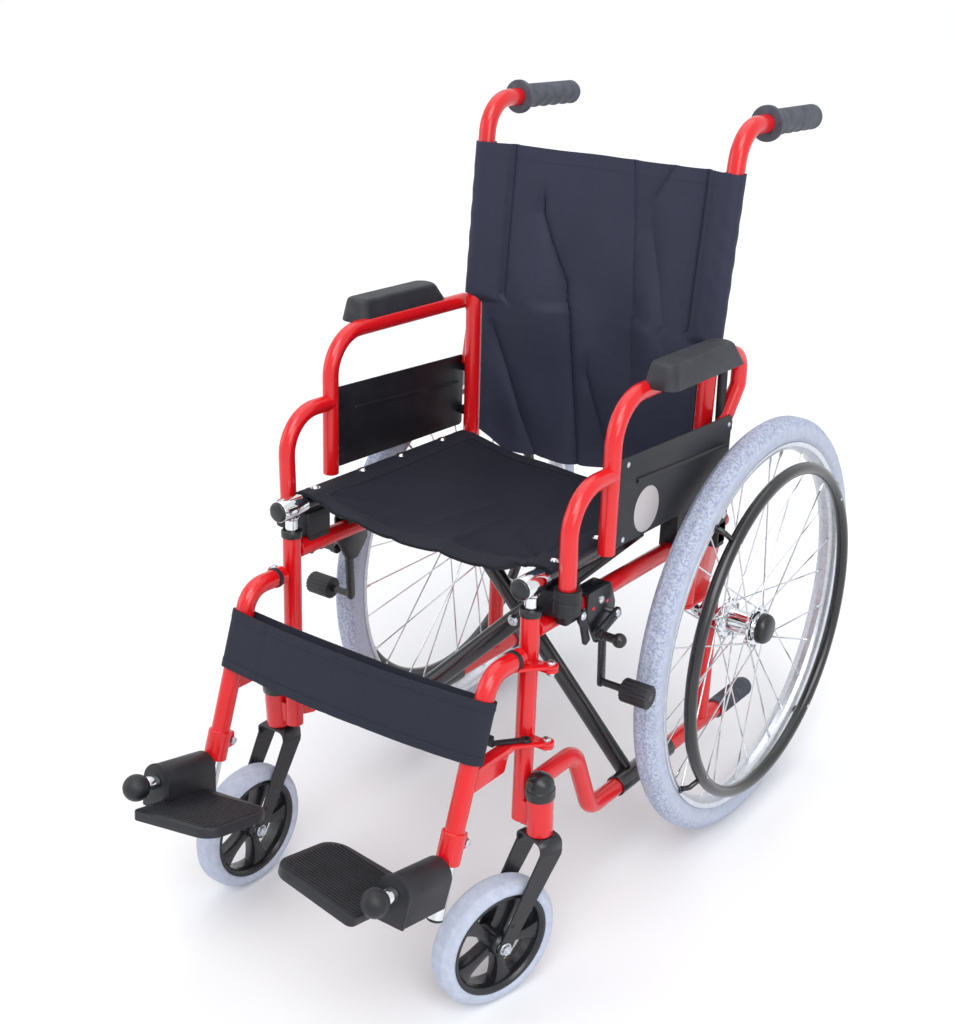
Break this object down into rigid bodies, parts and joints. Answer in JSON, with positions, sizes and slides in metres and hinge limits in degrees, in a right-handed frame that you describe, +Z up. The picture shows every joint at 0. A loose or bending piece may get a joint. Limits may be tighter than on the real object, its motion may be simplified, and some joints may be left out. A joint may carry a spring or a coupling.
{
  "type": "pediatric wheelchair",
  "caption": "Folding wheelchair for a child, with swing-away footrests, flip-back armrests, spoked rear wheels, swivelling casters and a scissor cross-brace under a sling seat.",
  "frame": {"origin": "centre of the whole chair's footprint, on the floor", "axes": "+Z up, -Y towards the front (the way the sitter faces), +X towards the sitter's left"},
  "size_m": [0.5468, 1.0002, 0.9335],
  "materials": {
    "red_paint": "gloss powder coat",
    "black_paint": "gloss powder coat",
    "chrome": "polished",
    "bare_aluminium": "satin",
    "black_plastic": "moulded, fine grain",
    "grey_tyre": "matt",
    "dark_rubber": "matt",
    "black_nylon": "woven"
  },
  "bodies": {
    "frame_right": {"front_upright_R": "red_paint", "upper_rail_R": "red_paint", "lower_rail_R": "red_paint", "tip_rubber_R": "dark_rubber", "rear_upright_R": "red_paint", "back_cane_R": "red_paint", "push_grip_R": "dark_rubber", "rear_axle_R": "chrome", "armrest_clamp_R": "black_plastic", "brake_bracket_R": "black_paint", "back_sling": "black_nylon"},
    "frame_left": {"front_upright_L": "red_paint", "upper_rail_L": "red_paint", "lower_rail_L": "red_paint", "tip_rubber_L": "dark_rubber", "rear_upright_L": "red_paint", "back_cane_L": "red_paint", "push_grip_L": "dark_rubber", "rear_axle_L": "chrome", "armrest_clamp_L": "black_plastic", "brake_bracket_L": "black_paint"},
    "cross_b": {"cross_brace_b": "black_paint", "centre_bolt": "chrome", "seat_sling": "black_nylon"},
    "cross_a": {"cross_brace_a": "black_paint"},
    "t_joint_right": {"t_joint_R": "chrome"},
    "armrest_right": {"armrest_frame_R": "red_paint", "armrest_pad_R": "dark_rubber", "skirt_guard_R": "black_plastic"},
    "armrest_latch_right": {"armrest_latch_R": "black_plastic"},
    "brake_lever_right": {"brake_lever_R": "black_plastic"},
    "brake_arm_right": {"brake_arm_R": "black_paint"},
    "hanger_right": {"hanger_R": "red_paint", "calf_strap": "black_nylon"},
    "hanger_latch_right": {"hanger_latch_R": "black_plastic"},
    "footrest_right": {"footrest_tube_R": "chrome"},
    "footplate_right": {"footplate_R": "black_plastic"},
    "caster_fork_right": {"caster_fork_R": "black_paint"},
    "caster_wheel_right": {"caster_wheel_R": "black_plastic", "caster_tyre_R": "grey_tyre"},
    "rear_wheel_right": {"rear_tyre_R": "grey_tyre", "rear_wheel_R": "bare_aluminium", "handrim_R": "black_paint"},
    "t_joint_left": {"t_joint_L": "chrome"},
    "armrest_left": {"armrest_frame_L": "red_paint", "armrest_pad_L": "dark_rubber", "skirt_guard_L": "black_plastic"},
    "armrest_latch_left": {"armrest_latch_L": "black_plastic"},
    "brake_lever_left": {"brake_lever_L": "black_plastic"},
    "brake_arm_left": {"brake_arm_L": "black_paint"},
    "hanger_left": {"hanger_L": "red_paint"},
    "hanger_latch_left": {"hanger_latch_L": "black_plastic"},
    "footrest_left": {"footrest_tube_L": "chrome"},
    "footplate_left": {"footplate_L": "black_plastic"},
    "caster_fork_left": {"caster_fork_L": "black_paint"},
    "caster_wheel_left": {"caster_wheel_L": "black_plastic", "caster_tyre_L": "grey_tyre"},
    "rear_wheel_left": {"rear_tyre_L": "grey_tyre", "rear_wheel_L": "bare_aluminium", "handrim_L": "black_paint"}
  },
  "joints": [
    {"name": "fold", "type": "hinge", "parent": "frame_right", "child": "cross_b", "pos_m": [-0.174, 0.00551, 0.12917], "axis": [0, -0.9976, 0.0698], "range_deg": [0, 31], "deforming": ["seat_sling", "back_sling", "calf_strap"]},
    {"name": "cross_pivot", "type": "hinge", "parent": "cross_b", "child": "cross_a", "pos_m": [0, 0.01782, 0.30524], "axis": [0, -0.9976, 0.0698], "range_deg": [-62, 0]},
    {"name": "frame_left_pivot", "type": "hinge", "parent": "cross_a", "child": "frame_left", "pos_m": [0.174, 0.00551, 0.12917], "axis": [0, -0.9976, 0.0698], "range_deg": [0, 31]},
    {"name": "t_joint_right_pivot", "type": "hinge", "parent": "cross_a", "child": "t_joint_right", "pos_m": [-0.174, -0.20131, 0.49749], "axis": [0, -0.9976, 0.0698], "range_deg": [0, 31]},
    {"name": "t_joint_left_pivot", "type": "hinge", "parent": "cross_b", "child": "t_joint_left", "pos_m": [0.174, -0.20131, 0.49749], "axis": [0, -0.9976, 0.0698], "range_deg": [-31, 0]},
    {"name": "armrest_flip_right", "type": "hinge", "parent": "frame_right", "child": "armrest_right", "pos_m": [-0.2025, 0.17616, 0.44804], "axis": [-1, 0, 0], "range_deg": [0, 70]},
    {"name": "armrest_latch_right", "type": "hinge", "parent": "frame_right", "child": "armrest_latch_right", "pos_m": [-0.204, -0.14886, 0.4447], "axis": [-1, 0, 0], "range_deg": [0, 30]},
    {"name": "brake_lever_right", "type": "hinge", "parent": "frame_right", "child": "brake_lever_right", "pos_m": [-0.1951, -0.06156, 0.40873], "axis": [-1, 0, 0], "range_deg": [0, 60]},
    {"name": "brake_arm_right", "type": "hinge", "parent": "frame_right", "child": "brake_arm_right", "pos_m": [-0.1901, -0.08366, 0.38802], "axis": [1, 0, 0], "range_deg": [0, 12]},
    {"name": "hanger_swing_right", "type": "hinge", "parent": "frame_right", "child": "hanger_right", "pos_m": [-0.203, -0.21421, 0.31294], "axis": [0, -0.0698, -0.9976], "range_deg": [0, 75]},
    {"name": "hanger_latch_right", "type": "hinge", "parent": "hanger_right", "child": "hanger_latch_right", "pos_m": [-0.186, -0.22989, 0.31805], "axis": [0, 0.0698, 0.9976], "range_deg": [0, 25]},
    {"name": "footrest_length_right", "type": "slide", "parent": "hanger_right", "child": "footrest_right", "axis": [0, -0.3799, -0.925], "range_m": [0, 0.04]},
    {"name": "footplate_flip_right", "type": "hinge", "parent": "footrest_right", "child": "footplate_right", "pos_m": [-0.174, -0.3617, 0.22191], "axis": [0, -0.965, 0.2622], "range_deg": [0, 80]},
    {"name": "caster_swivel_right", "type": "hinge", "parent": "frame_right", "child": "caster_fork_right", "pos_m": [-0.2007, -0.22243, 0.199], "axis": [0, 0, 1], "continuous": true},
    {"name": "caster_spin_right", "type": "hinge", "parent": "caster_fork_right", "child": "caster_wheel_right", "pos_m": [-0.20214, -0.28851, 0.0797], "axis": [0.9998, -0.0218, 0], "continuous": true},
    {"name": "rear_wheel_spin_right", "type": "hinge", "parent": "frame_right", "child": "rear_wheel_right", "pos_m": [-0.2335, 0.22071, 0.2794], "axis": [1, 0, 0], "continuous": true},
    {"name": "armrest_flip_left", "type": "hinge", "parent": "frame_left", "child": "armrest_left", "pos_m": [0.2025, 0.17616, 0.44804], "axis": [-1, 0, 0], "range_deg": [0, 70]},
    {"name": "armrest_latch_left", "type": "hinge", "parent": "frame_left", "child": "armrest_latch_left", "pos_m": [0.204, -0.14886, 0.4447], "axis": [-1, 0, 0], "range_deg": [0, 30]},
    {"name": "brake_lever_left", "type": "hinge", "parent": "frame_left", "child": "brake_lever_left", "pos_m": [0.1951, -0.06156, 0.40873], "axis": [-1, 0, 0], "range_deg": [0, 60]},
    {"name": "brake_arm_left", "type": "hinge", "parent": "frame_left", "child": "brake_arm_left", "pos_m": [0.1901, -0.08366, 0.38802], "axis": [1, 0, 0], "range_deg": [0, 12]},
    {"name": "hanger_swing_left", "type": "hinge", "parent": "frame_left", "child": "hanger_left", "pos_m": [0.203, -0.21421, 0.31294], "axis": [0, 0.0698, 0.9976], "range_deg": [0, 75]},
    {"name": "hanger_latch_left", "type": "hinge", "parent": "hanger_left", "child": "hanger_latch_left", "pos_m": [0.186, -0.22989, 0.31805], "axis": [0, -0.0698, -0.9976], "range_deg": [0, 25]},
    {"name": "footrest_length_left", "type": "slide", "parent": "hanger_left", "child": "footrest_left", "axis": [0, -0.3799, -0.925], "range_m": [0, 0.04]},
    {"name": "footplate_flip_left", "type": "hinge", "parent": "footrest_left", "child": "footplate_left", "pos_m": [0.174, -0.3617, 0.22191], "axis": [0, 0.965, -0.2622], "range_deg": [0, 80]},
    {"name": "caster_swivel_left", "type": "hinge", "parent": "frame_left", "child": "caster_fork_left", "pos_m": [0.2007, -0.22243, 0.199], "axis": [0, 0, 1], "continuous": true},
    {"name": "caster_spin_left", "type": "hinge", "parent": "caster_fork_left", "child": "caster_wheel_left", "pos_m": [0.18071, -0.28544, 0.0797], "axis": [0.9532, -0.3024, 0], "continuous": true},
    {"name": "rear_wheel_spin_left", "type": "hinge", "parent": "frame_left", "child": "rear_wheel_left", "pos_m": [0.2335, 0.22071, 0.2794], "axis": [1, 0, 0], "continuous": true}
  ],
  "couplings": [
    {"joint": "cross_pivot", "follows": "fold", "ratio": -2},
    {"joint": "frame_left_pivot", "follows": "fold", "ratio": 1},
    {"joint": "t_joint_right_pivot", "follows": "fold", "ratio": 1},
    {"joint": "t_joint_left_pivot", "follows": "fold", "ratio": -1},
    {"joint": "brake_arm_right", "follows": "brake_lever_right", "ratio": 0.2},
    {"joint": "footplate_flip_right", "follows": "fold", "ratio": 2.5806},
    {"joint": "brake_arm_left", "follows": "brake_lever_left", "ratio": 0.2},
    {"joint": "footplate_flip_left", "follows": "fold", "ratio": 2.5806}
  ]
}
